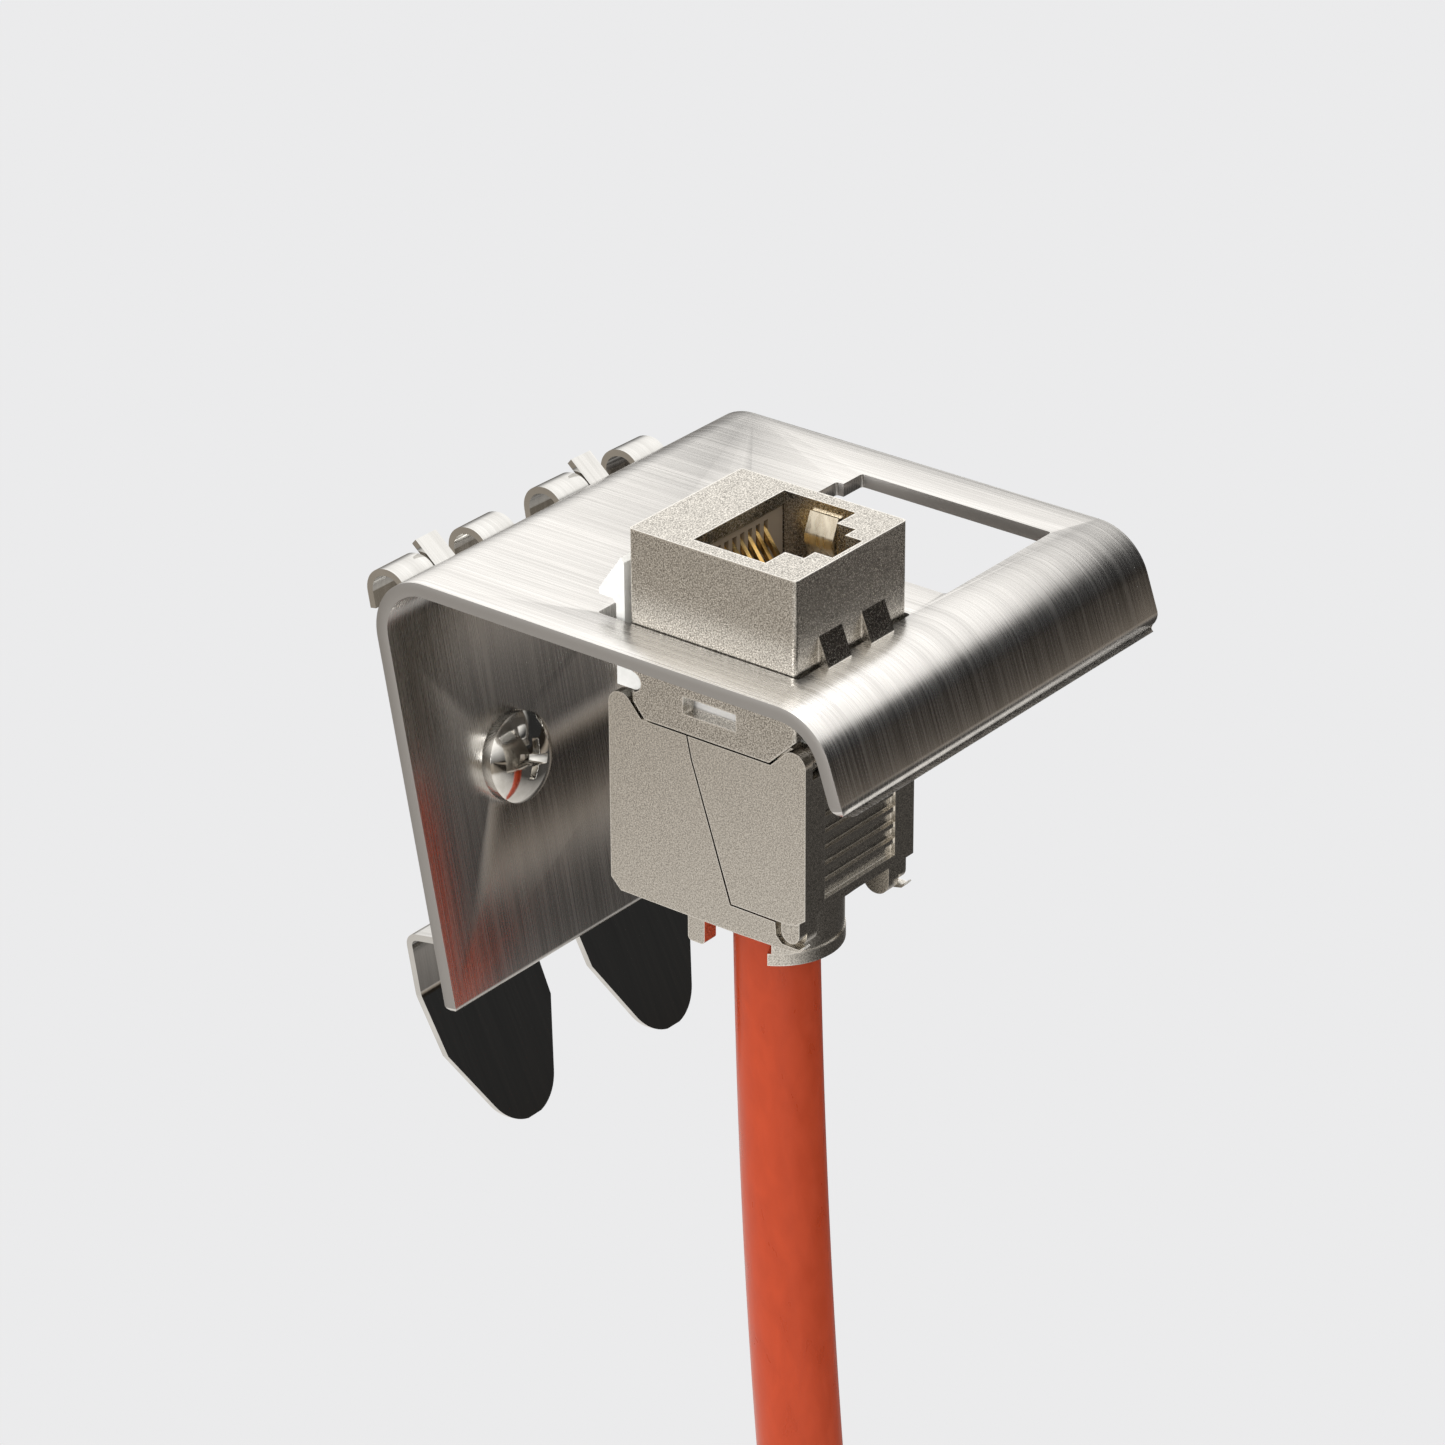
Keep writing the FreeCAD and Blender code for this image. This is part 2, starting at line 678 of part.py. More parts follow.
panel = block(-panel_half, panel_half, body_front - panel_depth, body_front + 1, panel_low, panel_top)
wing_front = wing_front.cut(panel)
arch_middle = front_low + arch_rise - floor_arch
arch = Part.makeCylinder(floor_arch, 2 * nub_r, vec(0, -body_front + nub_r * 2, arch_middle), vec(0, -1, 0))
wing_front = wing_front.cut(arch)
for k in range(rib_count):
    low = rib_first + k * rib_pitch - rib_height / 2
    rib_root = body_front - panel_depth - play
    rib_face = body_front - play
    outline = [(rib_root, low - play), (rib_face, low), (rib_face, low + rib_height), (rib_root, low + rib_height + play)]
    wing_front = wing_front.fuse(prism(outline, -panel_half, panel_half))


def sector(radius, low, high, spread, ahead):
    """The part of a round bar that faces forward, within an angle to each side."""
    reach = 3 * radius
    wide = math.radians(spread)
    middle = -cable_front - ahead
    points = [
        vec(0, middle, low),
        vec(-reach * math.sin(wide), middle - reach * math.cos(wide), low),
        vec(0, middle - 2 * reach, low),
        vec(reach * math.sin(wide), middle - reach * math.cos(wide), low),
    ]
    wedge = Part.Face(Part.makePolygon(points + points[:1])).extrude(vec(0, 0, high - low))
    return post(0, cable_front + ahead, radius, low, high).common(wedge)


collar = sector(collar_out, collar_low, front_low + 0.4, collar_spread, 0)
ring = sector(ring_r, ring_low, collar_low, ring_spread, ring_ahead)
wing_front = wing_front.fuse(collar).fuse(ring)
wing_front = wing_front.cut(post(0, cable_front, slot_r, -60, 0))
for side in (-1, 1):
    x0, x1 = sorted((side * outer, side * inner))
    wing_front = wing_front.fuse(rod(front_axis, ear, x0, x1))
    x0, x1 = sorted((side * nub_outer, side * (nub_outer - nub_length)))
    nub = rod(nub_spot, nub_r, x0, x1)
    nub = nub.fuse(block(x0, x1, nub_spot[0] - nub_r, nub_spot[0] + nub_r, nub_spot[1], front_low + front_floor / 2))
    wing_front = wing_front.fuse(nub)
    x0, x1 = sorted((side * (outer - play), side * (nub_outer - play)))
    stub = rod(stub_spot, stub_r, x0, x1)
    stub = stub.fuse(block(x0, x1, stub_spot[0] - stub_r, stub_spot[0] + stub_r, stub_spot[1], front_low + front_floor / 2))
    wing_front = wing_front.fuse(stub)
pin_bore = rod(front_axis, pin_d / 2 + 0.03, -half_jack + pin_skin, half_jack - pin_skin)
wing_front = wing_front.cut(pin_bore).removeSplitter()

# The cable leaves along the jack's axis and bends slowly to hang straight down
start_y, start_z = shelf_point(jack_setback + cable_front, cable_start)
route = [vec(port_spots[0], start_y, start_z)]
lean_now, sway_now = port_tilt, 0.0
for length, less, sway in zip(run_lengths, run_leans, run_sways):
    lean_now -= less
    sway_now += sway
    a = math.radians(lean_now)
    b = math.radians(sway_now)
    route.append(route[-1] + vec(math.sin(b), math.sin(a), -math.cos(a) * math.cos(b)).normalize() * length)


def smooth_path(points):
    """Straight runs joined by tangent arcs, and the arcs' radii."""
    edges, radii, last = [], [], points[0]
    for before, here, after in zip(points, points[1:], points[2:]):
        into, out = here - before, after - here
        shorter = min(into.Length, out.Length)
        turn = into.getAngle(out)
        reach = 0.45 * shorter
        radii.append(reach / math.tan(turn / 2))
        first = here - into.normalize() * reach
        end = here + out.normalize() * reach
        towards = (first + end) * 0.5 - here
        rise = towards.Length
        radius = radii[-1]
        bulge = here + towards.normalize() * (math.hypot(radius, reach) - radius) if rise > 0 else here
        edges.append(Part.LineSegment(last, first).toShape())
        edges.append(Part.Arc(first, bulge, end).toShape())
        last = end
    edges.append(Part.LineSegment(last, points[-1]).toShape())
    return Part.Wire(edges), radii


path, cable_radii = smooth_path(route)
first_way = (route[1] - route[0]).normalize()
section = Part.Wire(Part.makeCircle(cable_d / 2, route[0], first_way))
cable = path.makePipeShell([section], True, False)
print("cable radii", [round(r, 1) for r in cable_radii])
print("cable length", round(path.Length, 2), "volume ratio", round(cable.Volume / (math.pi * cable_d**2 / 4 * path.Length), 4))
for p in route:
    print("route", round(p.x, 2), round(p.y, 2), round(p.z, 2))

# Its far end is stripped: the braid folded back, four foiled pairs, eight cores
end_way = (route[-1] - route[-2]).normalize()
fold_start = route[-1] - end_way * braid_fold
braid_end = Part.makeCylinder(braid_d / 2, braid_fold, fold_start, end_way)
braid_end = braid_end.cut(Part.makeCylinder(cable_d / 2, 3 * braid_fold, fold_start - end_way * braid_fold, end_way))
side_way = end_way.cross(vec(0, 1, 0)).normalize()
front_way = end_way.cross(side_way).normalize()


def facet_rod(radius, start, way, length):
    """A thin wire as an eight-sided bar: the real ones are too small to need a rounder section."""
    ring = Part.makeCircle(radius, start, way)
    corners = [ring.valueAt(ring.FirstParameter + k * math.pi / 4) for k in range(8)]
    return Part.Face(Part.makePolygon(corners + corners[:1])).extrude(way * length)


pairs, cores = [], []
for k in range(4):
    turn = math.radians(45 + 90 * k)
    out = side_way * math.cos(turn) + front_way * math.sin(turn)
    base = route[-1] + out * pair_ring + end_way * (4 * pair_gap)
    splay = (end_way + out * 0.06).normalize()
    pairs.append(facet_rod(pair_d / 2, base, splay, pair_out))
    tip = base + splay * pair_out
    across = splay.cross(out).normalize()
    for side in (-1, 1):
        cores.append(facet_rod(core_d / 2, tip + across * (side * core_d * 0.52), splay, core_out))
foil_pairs = Part.makeCompound(pairs)
cable_cores = Part.makeCompound(cores)

# Inside the jack the pairs run from the sheath's end into the lacing cap
inner_pairs = []
for k in range(4):
    turn = math.radians(45 + 90 * k)
    x = 1.15 * math.cos(turn)
    f = cable_front - 1.0 + 1.15 * math.sin(turn)
    low = cable_start + pair_gap
    inner_pairs.append(facet_rod(inner_pair_d / 2, vec(x, -f, low), vec(0, 0, 1), block_low - pair_gap - low))
inner_pairs = Part.makeCompound(inner_pairs)

nodes = {
    "bracket": bracket,
    "clip_left": clip_left,
    "clip_right": clip_right,
    "screw_left": screw_left,
    "screw_right": screw_right,
    "jack_housing": on_jack(housing),
    "latch": on_jack(latch),
    "carrier": on_jack(carrier),
    "contacts": on_jack(contacts),
    "spring_left": on_jack(spring_left),
    "spring_right": on_jack(spring_right),
    "board": on_jack(board),
    "idc_block": on_jack(idc_block),
    "idc_blades": on_jack(idc_blades),
    "lacing_cap": on_jack(cap),
    "inner_pairs": on_jack(inner_pairs),
    "wing_rear": on_jack(wing_rear),
    "wing_front": on_jack(wing_front),
    "hinge_pin_rear": on_jack(hinge_pin_rear),
    "hinge_pin_front": on_jack(hinge_pin_front),
    "cable": cable,
    "braid_end": braid_end,
    "foil_pairs": foil_pairs,
    "cable_cores": cable_cores,
}
for name, shape in nodes.items():
    solids = len(shape.Solids)
    print(name, "solids", solids, "valid", shape.isValid(), "volume", round(shape.Volume, 1))
    shape.exportStep("parts/" + name + ".step")
for label, spot in (("wing_rear axis", rear_axis), ("wing_front axis", front_axis), ("latch axis", latch_axis)):
    y, z = shelf_point(jack_setback + spot[0], spot[1])
    print(label, round(port_spots[0], 3), round(y, 3), round(z, 3))
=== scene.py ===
import bpy
import bmesh
import math
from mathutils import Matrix, Quaternion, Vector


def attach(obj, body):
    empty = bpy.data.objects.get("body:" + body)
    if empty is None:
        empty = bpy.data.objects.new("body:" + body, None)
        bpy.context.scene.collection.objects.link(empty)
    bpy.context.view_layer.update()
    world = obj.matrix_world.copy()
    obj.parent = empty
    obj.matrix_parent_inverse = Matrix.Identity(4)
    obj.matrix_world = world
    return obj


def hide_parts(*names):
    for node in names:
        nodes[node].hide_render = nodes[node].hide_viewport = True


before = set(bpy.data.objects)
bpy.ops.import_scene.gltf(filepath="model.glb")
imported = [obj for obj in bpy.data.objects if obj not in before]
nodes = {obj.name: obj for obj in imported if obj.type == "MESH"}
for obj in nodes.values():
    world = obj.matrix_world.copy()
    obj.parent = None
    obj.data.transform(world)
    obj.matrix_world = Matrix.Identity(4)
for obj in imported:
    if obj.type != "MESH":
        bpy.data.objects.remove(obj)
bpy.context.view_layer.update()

# Camera
# A long lens looks down on the adapter from the front left. Its place and turn come from
# the bracket's straight edges in the photograph.
camera_place = (-0.31423, -0.29573, 0.15417)
camera_turn = Quaternion((0.7185389, 0.5395824, -0.1928652, -0.3941519))
bpy.ops.object.camera_add(location=camera_place)
camera = bpy.context.object
camera.name = "photo_camera"
camera.rotation_mode = "QUATERNION"
camera.rotation_quaternion = camera_turn
camera.data.sensor_width = 36.0
camera.data.lens = 133.907
camera.data.clip_start = 0.01
bpy.context.scene.camera = camera

# Cable
# A shielded data cable with an orange sheath. It leaves the jack's collar a little nipped,
# runs straight out, and then hangs; the braid underneath gives the sheath a faint ripple.
cable_diameter = 0.0074
nipped_radius = 0.00355
route = [
    (-0.00975, -0.02923, -0.00434),
    (-0.00975, -0.02338, -0.03783),
    (-0.00807, -0.01659, -0.09742),
    (-0.00724, -0.01418, -0.15737),
]
bpy.ops.curve.primitive_nurbs_path_add(location=(0, 0, 0))
cable = bpy.context.object
cable.name = "cable_sheath"
cable.data.splines.clear()
spline = cable.data.splines.new("NURBS")
spline.points.add(len(route) - 1)
for point, stop in zip(spline.points, route):
    point.co = (*stop, 1)
    point.radius = cable_diameter / 2
spline.points[0].radius = nipped_radius
spline.order_u = 3
spline.use_endpoint_u = True
spline.resolution_u = 24
cable.data.bevel_depth = 1.0
cable.data.bevel_resolution = 10
cable.data.use_fill_caps = True
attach(cable, "adapter")
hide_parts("cable")


def texture_group(name, scale, detail, roughness, distortion=0.0):
    """A node group with one noise in object coordinates, stretched by its Stretch input."""
    group = bpy.data.node_groups.new(name, "ShaderNodeTree")
    stretch = group.interface.new_socket("Stretch", in_out="INPUT", socket_type="NodeSocketVector")
    stretch.default_value = (1, 1, 1)
    group.interface.new_socket("Factor", in_out="OUTPUT", socket_type="NodeSocketFloat")
    start = group.nodes.new("NodeGroupInput")
    end = group.nodes.new("NodeGroupOutput")
    coords = group.nodes.new("ShaderNodeTexCoord")
    mapping = group.nodes.new("ShaderNodeMapping")
    noise = group.nodes.new("ShaderNodeTexNoise")
    noise.inputs["Scale"].default_value = scale
    noise.inputs["Detail"].default_value = detail
    noise.inputs["Roughness"].default_value = roughness
    noise.inputs["Distortion"].default_value = distortion
    group.links.new(coords.outputs["Object"], mapping.inputs["Vector"])
    group.links.new(start.outputs["Stretch"], mapping.inputs["Scale"])
    group.links.new(mapping.outputs["Vector"], noise.inputs["Vector"])
    group.links.new(noise.outputs["Fac"], end.inputs["Factor"])
    return group


def surface(name, effect, dark, light, roughness, metallic=1.0, stretch=(1, 1, 1),
            bump=0.1, depth=0.00005, spread=(0.3, 0.7)):
    """A material whose colour, roughness and bump follow one shared effect."""
    made = bpy.data.materials.new(name)
    made.use_nodes = True
    tree = made.node_tree
    shader = tree.nodes["Principled BSDF"]
    shader.inputs["Metallic"].default_value = metallic
    grain = tree.nodes.new("ShaderNodeGroup")
    grain.node_tree = effect
    grain.inputs["Stretch"].default_value = stretch
    tint = tree.nodes.new("ShaderNodeValToRGB")
    for stop, where, colour in zip(tint.color_ramp.elements, spread, (dark, light)):
        stop.position = where
        stop.color = (*colour, 1)
    polish = tree.nodes.new("ShaderNodeMapRange")
    polish.inputs["From Min"].default_value = spread[0]
    polish.inputs["From Max"].default_value = spread[1]
    polish.inputs["To Min"].default_value = roughness[0]
    polish.inputs["To Max"].default_value = roughness[1]
    relief = tree.nodes.new("ShaderNodeBump")
    relief.inputs["Strength"].default_value = bump
    relief.inputs["Distance"].default_value = depth
    tree.links.new(grain.outputs["Factor"], tint.inputs["Fac"])
    tree.links.new(grain.outputs["Factor"], polish.inputs["Value"])
    tree.links.new(grain.outputs["Factor"], relief.inputs["Height"])
    tree.links.new(tint.outputs["Color"], shader.inputs["Base Color"])
    tree.links.new(polish.outputs["Result"], shader.inputs["Roughness"])
    tree.links.new(relief.outputs["Normal"], shader.inputs["Normal"])
    return made


def dress(piece, finish, edge=0.0):
    """Gives a piece its finish and, where edge is set, edges rounded by that much."""
    piece.data.materials.clear()
    piece.data.materials.append(finish)
    if edge > 0:
        soft = piece.modifiers.new("soft_edges", "BEVEL")
        soft.width = edge
        soft.segments = 2
        soft.limit_method = "ANGLE"
        soft.angle_limit = math.radians(40)
        soft.harden_normals = True


soft_clouds = texture_group("soft_clouds", 120.0, 3.0, 0.5, 0.4)
sheath = surface(
    "orange_sheath",
    soft_clouds,
    dark=(0.37, 0.036, 0.0045),
    light=(0.43, 0.044, 0.006),
    roughness=(0.26, 0.36),
    metallic=0.0,
    stretch=(6, 6, 2.2),
    bump=0.12,
    depth=0.0002,
)
sheath.node_tree.nodes["Principled BSDF"].inputs["Specular IOR Level"].default_value = 0.35
dress(cable, sheath)


# Cable's stripped end
# The tinned braid is folded back over the sheath. Four foiled pairs stand out below it,
# each twisted, and each ends in one coloured and one pale core with copper showing.
def pick(piece, wanted, kind="EDGE"):
    """Leaves piece in edit mode with only the edges or faces selected that a test wants."""
    bpy.ops.object.mode_set(mode="OBJECT")
    bpy.ops.object.select_all(action="DESELECT")
    bpy.context.view_layer.objects.active = piece
    piece.select_set(True)
    bpy.ops.object.mode_set(mode="EDIT")
    bpy.ops.mesh.select_mode(type=kind)
    bpy.ops.mesh.select_all(action="DESELECT")
    shape = bmesh.from_edit_mesh(piece.data)
    for item in shape.edges if kind == "EDGE" else shape.faces:
        item.select_set(bool(wanted(item)))
    shape.select_flush_mode()
    bmesh.update_edit_mesh(piece.data)


def height_of(edge):
    """How far an edge rises along its piece's own z."""
    return abs(edge.verts[0].co.z - edge.verts[1].co.z)


def lay_along(piece, middle, way):
    """Puts a piece's middle at a place with its lower end pointing the given way."""
    piece.location = middle
    piece.rotation_euler = way.to_track_quat("-Z", "Y").to_euler()
    bpy.ops.object.transform_apply(location=True, rotation=True, scale=True)


brush_marks = texture_group("brush_marks", 1.0, 5.0, 0.65)
moulded_skin = texture_group("moulded_skin", 1500.0, 2.0, 0.5)
braid = surface(
    "tinned_braid",
    brush_marks,
    dark=(0.30, 0.29, 0.27),
    light=(0.80, 0.79, 0.76),
    roughness=(0.25, 0.5),
    stretch=(2500, 2500, 900),
    bump=0.9,
    depth=0.0003,
)
foil = surface(
    "pair_foil",
    soft_clouds,
    dark=(0.62, 0.63, 0.65),
    light=(0.90, 0.90, 0.91),
    roughness=(0.12, 0.35),
    stretch=(5, 5, 5),
    bump=0.5,
    depth=0.0002,
)
copper = surface(
    "copper",
    soft_clouds,
    dark=(0.72, 0.34, 0.20),
    light=(0.88, 0.48, 0.30),
    roughness=(0.15, 0.3),
    stretch=(8, 8, 8),
)
pale_core = surface(
    "core_insulation",
    moulded_skin,
    dark=(0.70, 0.69, 0.66),
    light=(0.85, 0.84, 0.82),
    roughness=(0.25, 0.4),
    metallic=0.0,
)
dress(nodes["braid_end"], braid)
dress(nodes["inner_pairs"], pale_core)

core_colours = {
    "blue": (0.02, 0.10, 0.45),
    "orange": (0.75, 0.20, 0.03),
    "green": (0.02, 0.25, 0.06),
    "brown": (0.16, 0.06, 0.03),
}
pair_radius = 0.00105
pair_length = 0.017
pair_offset = 0.00155
pair_gap = 0.00008
pair_splay = 0.06
pair_turns = 2.5
core_radius = 0.0005
core_length = 0.0062
core_offset = 0.00052
copper_radius = 0.00028
copper_length = 0.0008
end_way = (Vector(route[-1]) - Vector(route[-2])).normalized()
side_way = end_way.cross(Vector((0, 1, 0))).normalized()
front_way = end_way.cross(side_way).normalized()
for k, (hue, tone) in enumerate(core_colours.items()):
    turn = math.radians(45 + 90 * k)
    out = side_way * math.cos(turn) + front_way * math.sin(turn)
    base = Vector(route[-1]) + out * pair_offset + end_way * pair_gap
    splay = (end_way + out * pair_splay).normalized()
    bpy.ops.mesh.primitive_cylinder_add(vertices=24, radius=pair_radius, depth=pair_length)
    pair = bpy.context.object
    pair.name = "foiled_pair_" + hue
    pick(pair, lambda edge: height_of(edge) > pair_length / 2)
    bpy.ops.mesh.subdivide(number_cuts=40)
    bpy.ops.mesh.select_all(action="SELECT")
    bpy.ops.transform.resize(value=(0.99, 0.72, 1))
    bpy.ops.object.mode_set(mode="OBJECT")
    twist = pair.modifiers.new("twist", "SIMPLE_DEFORM")
    twist.deform_method = "TWIST"
    twist.deform_axis = "Z"
    twist.angle = math.radians(360 * pair_turns + 90 * k)
    bpy.ops.object.modifier_apply(modifier="twist")
    bpy.ops.object.shade_smooth_by_angle(angle=math.radians(50))
    lay_along(pair, base + splay * (pair_length / 2), splay)
    dress(pair, foil)
    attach(pair, "adapter")
    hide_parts("foil_pairs")
    tip = base + splay * pair_length
    across = splay.cross(out).normalized()
    coloured_core = surface(
        hue + "_insulation",
        moulded_skin,
        dark=tuple(0.85 * part for part in tone),
        light=tone,
        roughness=(0.25, 0.4),
        metallic=0.0,
    )
    for side, finish, which in ((-1, coloured_core, "a"), (1, pale_core, "b")):
        bpy.ops.object.select_all(action="DESELECT")
        bpy.ops.mesh.primitive_cylinder_add(vertices=24, radius=core_radius, depth=core_length)
        wire = bpy.context.object
        wire.name = "core_" + hue + "_" + which
        pick(wire, lambda face: face.normal.z < -0.9, "FACE")
        bpy.ops.mesh.inset(thickness=core_radius - copper_radius)
        bpy.ops.mesh.extrude_region_move(TRANSFORM_OT_translate={"value": (0, 0, -copper_length)})
        bpy.ops.object.mode_set(mode="OBJECT")
        dress(wire, finish)
        wire.data.materials.append(copper)
        for face in wire.data.polygons:
            below_core = face.center.z < -core_length / 2 - 0.00001
            if below_core and Vector(face.center).xy.length < copper_radius * 1.05:
                face.material_index = 1
        bpy.ops.object.shade_smooth_by_angle(angle=math.radians(50))
        lay_along(wire, tip + across * (side * core_offset) + splay * (core_length / 2), splay)
        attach(wire, "adapter")
        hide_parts("cable_cores")


# Bracket
# One stainless sheet, punched and then folded twice: up the back, round the bend, along
# the shelf and down the lip. Its grain runs the long way and its sheared edges are duller.
def subtract(piece, cutter):
    """Cuts one piece out of another and removes the cutter."""
    bpy.ops.object.select_all(action="DESELECT")
    bpy.context.view_layer.objects.active = piece
    piece.select_set(True)
    cut = piece.modifiers.new("cut", "BOOLEAN")
    cut.operation = "DIFFERENCE"
    cut.solver = "EXACT"
    cut.object = cutter
    bpy.ops.object.modifier_apply(modifier="cut")
    bpy.data.objects.remove(cutter)


def soften(piece, width):
    """Rounds a piece's edges for good and shades it smooth."""
    bpy.ops.object.mode_set(mode="OBJECT")
    bpy.ops.object.select_all(action="DESELECT")
    bpy.context.view_layer.objects.active = piece
    piece.select_set(True)
    edge = piece.modifiers.new("edge", "BEVEL")
    edge.width = width
    edge.segments = 2
    edge.limit_method = "ANGLE"
    edge.angle_limit = math.radians(40)
    bpy.ops.object.modifier_apply(modifier="edge")
    bpy.ops.object.shade_smooth_by_angle(angle=math.radians(40))


bracket_width = 0.0435
sheet = 0.0012
plate_middle = -0.0012
plate_bottom = -0.019
plate_top = 0.0146477
bend_radius = 0.004
shelf_turn = math.radians(10.5)
shelf_flat = 0.0359386
lip_turn = math.radians(71)
lip_flat = 0.0046908
lip_corner = 0.0013
plate_corner = 0.0006
edge_break = 0.00011
bend_y = plate_middle - sheet / 2 - bend_radius
shelf_way = Vector((0, -math.cos(shelf_turn), -math.sin(shelf_turn)))
lip_way = Vector((0, -math.cos(shelf_turn + lip_turn), -math.sin(shelf_turn + lip_turn)))
back_bend = Vector((0, bend_y, plate_top))
lip_bend = back_bend + shelf_way * shelf_flat
lip_end = lip_bend + lip_way * lip_flat
bpy.ops.object.select_all(action="DESELECT")
bpy.ops.mesh.primitive_cube_add(
    size=1,
    location=(0, plate_middle, (plate_top + plate_bottom) / 2),
    scale=(bracket_width, sheet, plate_top - plate_bottom),
)
bracket = bpy.context.object
bracket.name = "folded_bracket"
bpy.ops.object.transform_apply(location=True, rotation=True, scale=True)
pick(bracket, lambda face: face.normal.z > 0.9, "FACE")
quarter_and_drop = math.radians(90) + shelf_turn
bpy.ops.mesh.spin(steps=20, angle=-quarter_and_drop, center=back_bend, axis=(1, 0, 0))
bpy.ops.mesh.extrude_region_move(TRANSFORM_OT_translate={"value": shelf_way * shelf_flat})
bpy.ops.mesh.spin(steps=16, angle=-lip_turn, center=lip_bend, axis=(1, 0, 0))
bpy.ops.mesh.extrude_region_move(TRANSFORM_OT_translate={"value": lip_way * lip_flat})


def at_side(vert):
    """Whether a vertex lies on one of the sheet's two sides."""
    return abs(vert.co.x) > bracket_width / 2 - 0.00005


def at_lip_end(vert):
    """Whether a vertex lies past the lip's bend and at the lip's lower end."""
    return vert.co.y < lip_bend.y and vert.co.z < lip_end.z + sheet


def at_plate_end(vert):
    """Whether a vertex lies at the back plate's lower end."""
    return vert.co.z < plate_bottom + sheet / 6


pick(bracket, lambda edge: all(at_side(vert) and at_lip_end(vert) for vert in edge.verts))
bpy.ops.mesh.bevel(offset=lip_corner, segments=7, affect="EDGES")
pick(bracket, lambda edge: all(at_side(vert) and at_plate_end(vert) for vert in edge.verts))
bpy.ops.mesh.bevel(offset=plate_corner, segments=5, affect="EDGES")
bpy.ops.object.mode_set(mode="OBJECT")

# The two keystone cut-outs, each with its notch for the jack's latch. Their places are
# measured along the shelf from where its middle plane meets the back's.
cutout_spots = (-0.00975, 0.00975)
cutout_width = 0.0148
notch_width = 0.0122
cutout_start = 0.0213
cutout_end = 0.0406
notch_start = 0.0206
notch_end = 0.0300
cutout_corner = 0.0003
cutter_height = 0.004
shelf_start = Vector((0, -0.0004907, 0.0203100))
for spot in cutout_spots:
    left = spot - cutout_width / 2
    for near, far, width in ((cutout_start, cutout_end, cutout_width), (notch_start, notch_end, notch_width)):
        middle = shelf_start + shelf_way * ((near + far) / 2)
        middle.x = left + width / 2
        bpy.ops.mesh.primitive_cube_add(size=1, location=middle, rotation=(shelf_turn, 0, 0))
        cutter = bpy.context.object
        cutter.scale = (width, far - near, cutter_height)
        bpy.ops.object.transform_apply(location=False, rotation=False, scale=True)
        pick(cutter, lambda edge: height_of(edge) > cutter_height * 0.75)
        bpy.ops.mesh.bevel(offset=cutout_corner, segments=4, affect="EDGES")
        bpy.ops.object.mode_set(mode="OBJECT")
        subtract(bracket, cutter)

# Clearance holes for the two screws
screw_spots = {"left": -0.00975, "right": 0.0101}
screw_height = -0.00035
screw_hole_radius = 0.0022
for spot in screw_spots.values():
    bpy.ops.mesh.primitive_cylinder_add(
        vertices=48,
        radius=screw_hole_radius,
        depth=sheet * 5,
        location=(spot, plate_middle, screw_height),
        rotation=(math.pi / 2, 0, 0),
    )
    subtract(bracket, bpy.context.object)
soften(bracket, edge_break)
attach(bracket, "adapter")
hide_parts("bracket")

steel = surface(
    "brushed_stainless",
    brush_marks,
    dark=(0.60, 0.585, 0.565),
    light=(0.82, 0.80, 0.775),
    roughness=(0.21, 0.33),
    stretch=(5200, 45, 45),
    bump=0.4,
    depth=0.00004,
)
tree = steel.node_tree
shader = tree.nodes["Principled BSDF"]
grain_colour = shader.inputs["Base Color"].links[0].from_socket
grain_polish = shader.inputs["Roughness"].links[0].from_socket
coords = tree.nodes.new("ShaderNodeTexCoord")

# Broad bands of slightly darker grain
bands = tree.nodes.new("ShaderNodeGroup")
bands.node_tree = brush_marks
bands.inputs["Stretch"].default_value = (420, 22, 22)
band_shade = tree.nodes.new("ShaderNodeMapRange")
band_shade.inputs["From Min"].default_value = 0.35
band_shade.inputs["From Max"].default_value = 0.65
band_shade.inputs["To Min"].default_value = 0.86
band_shade.inputs["To Max"].default_value = 1.0
banded = tree.nodes.new("ShaderNodeMix")
banded.data_type = "RGBA"
banded.blend_type = "MULTIPLY"
banded.inputs["Factor"].default_value = 1.0
tree.links.new(bands.outputs["Factor"], band_shade.inputs["Value"])
tree.links.new(grain_colour, banded.inputs["A"])
tree.links.new(band_shade.outputs["Result"], banded.inputs["B"])

# Sheared faces, which look sideways or down along the lip, are darker and duller
split = tree.nodes.new("ShaderNodeSeparateXYZ")
sideways = tree.nodes.new("ShaderNodeMath")
sideways.operation = "ABSOLUTE"
downwards = tree.nodes.new("ShaderNodeVectorMath")
downwards.operation = "DOT_PRODUCT"
downwards.inputs[1].default_value = lip_way
under = tree.nodes.new("ShaderNodeMath")
under.operation = "SUBTRACT"
under.inputs[1].default_value = 0.07
edge_on = tree.nodes.new("ShaderNodeMath")
edge_on.operation = "MAXIMUM"
cut_face = tree.nodes.new("ShaderNodeMath")
cut_face.operation = "GREATER_THAN"
cut_face.inputs[1].default_value = 0.9
sheared = tree.nodes.new("ShaderNodeMix")
sheared.data_type = "RGBA"
sheared.inputs["B"].default_value = (0.38, 0.365, 0.35, 1)
dull = tree.nodes.new("ShaderNodeMix")
dull.inputs["B"].default_value = 0.5
tree.links.new(coords.outputs["Normal"], split.inputs["Vector"])
tree.links.new(split.outputs["X"], sideways.inputs[0])
tree.links.new(coords.outputs["Normal"], downwards.inputs[0])
tree.links.new(downwards.outputs["Value"], under.inputs[0])
tree.links.new(sideways.outputs["Value"], edge_on.inputs[0])
tree.links.new(under.outputs["Value"], edge_on.inputs[1])
tree.links.new(edge_on.outputs["Value"], cut_face.inputs[0])
tree.links.new(cut_face.outputs["Value"], sheared.inputs["Factor"])
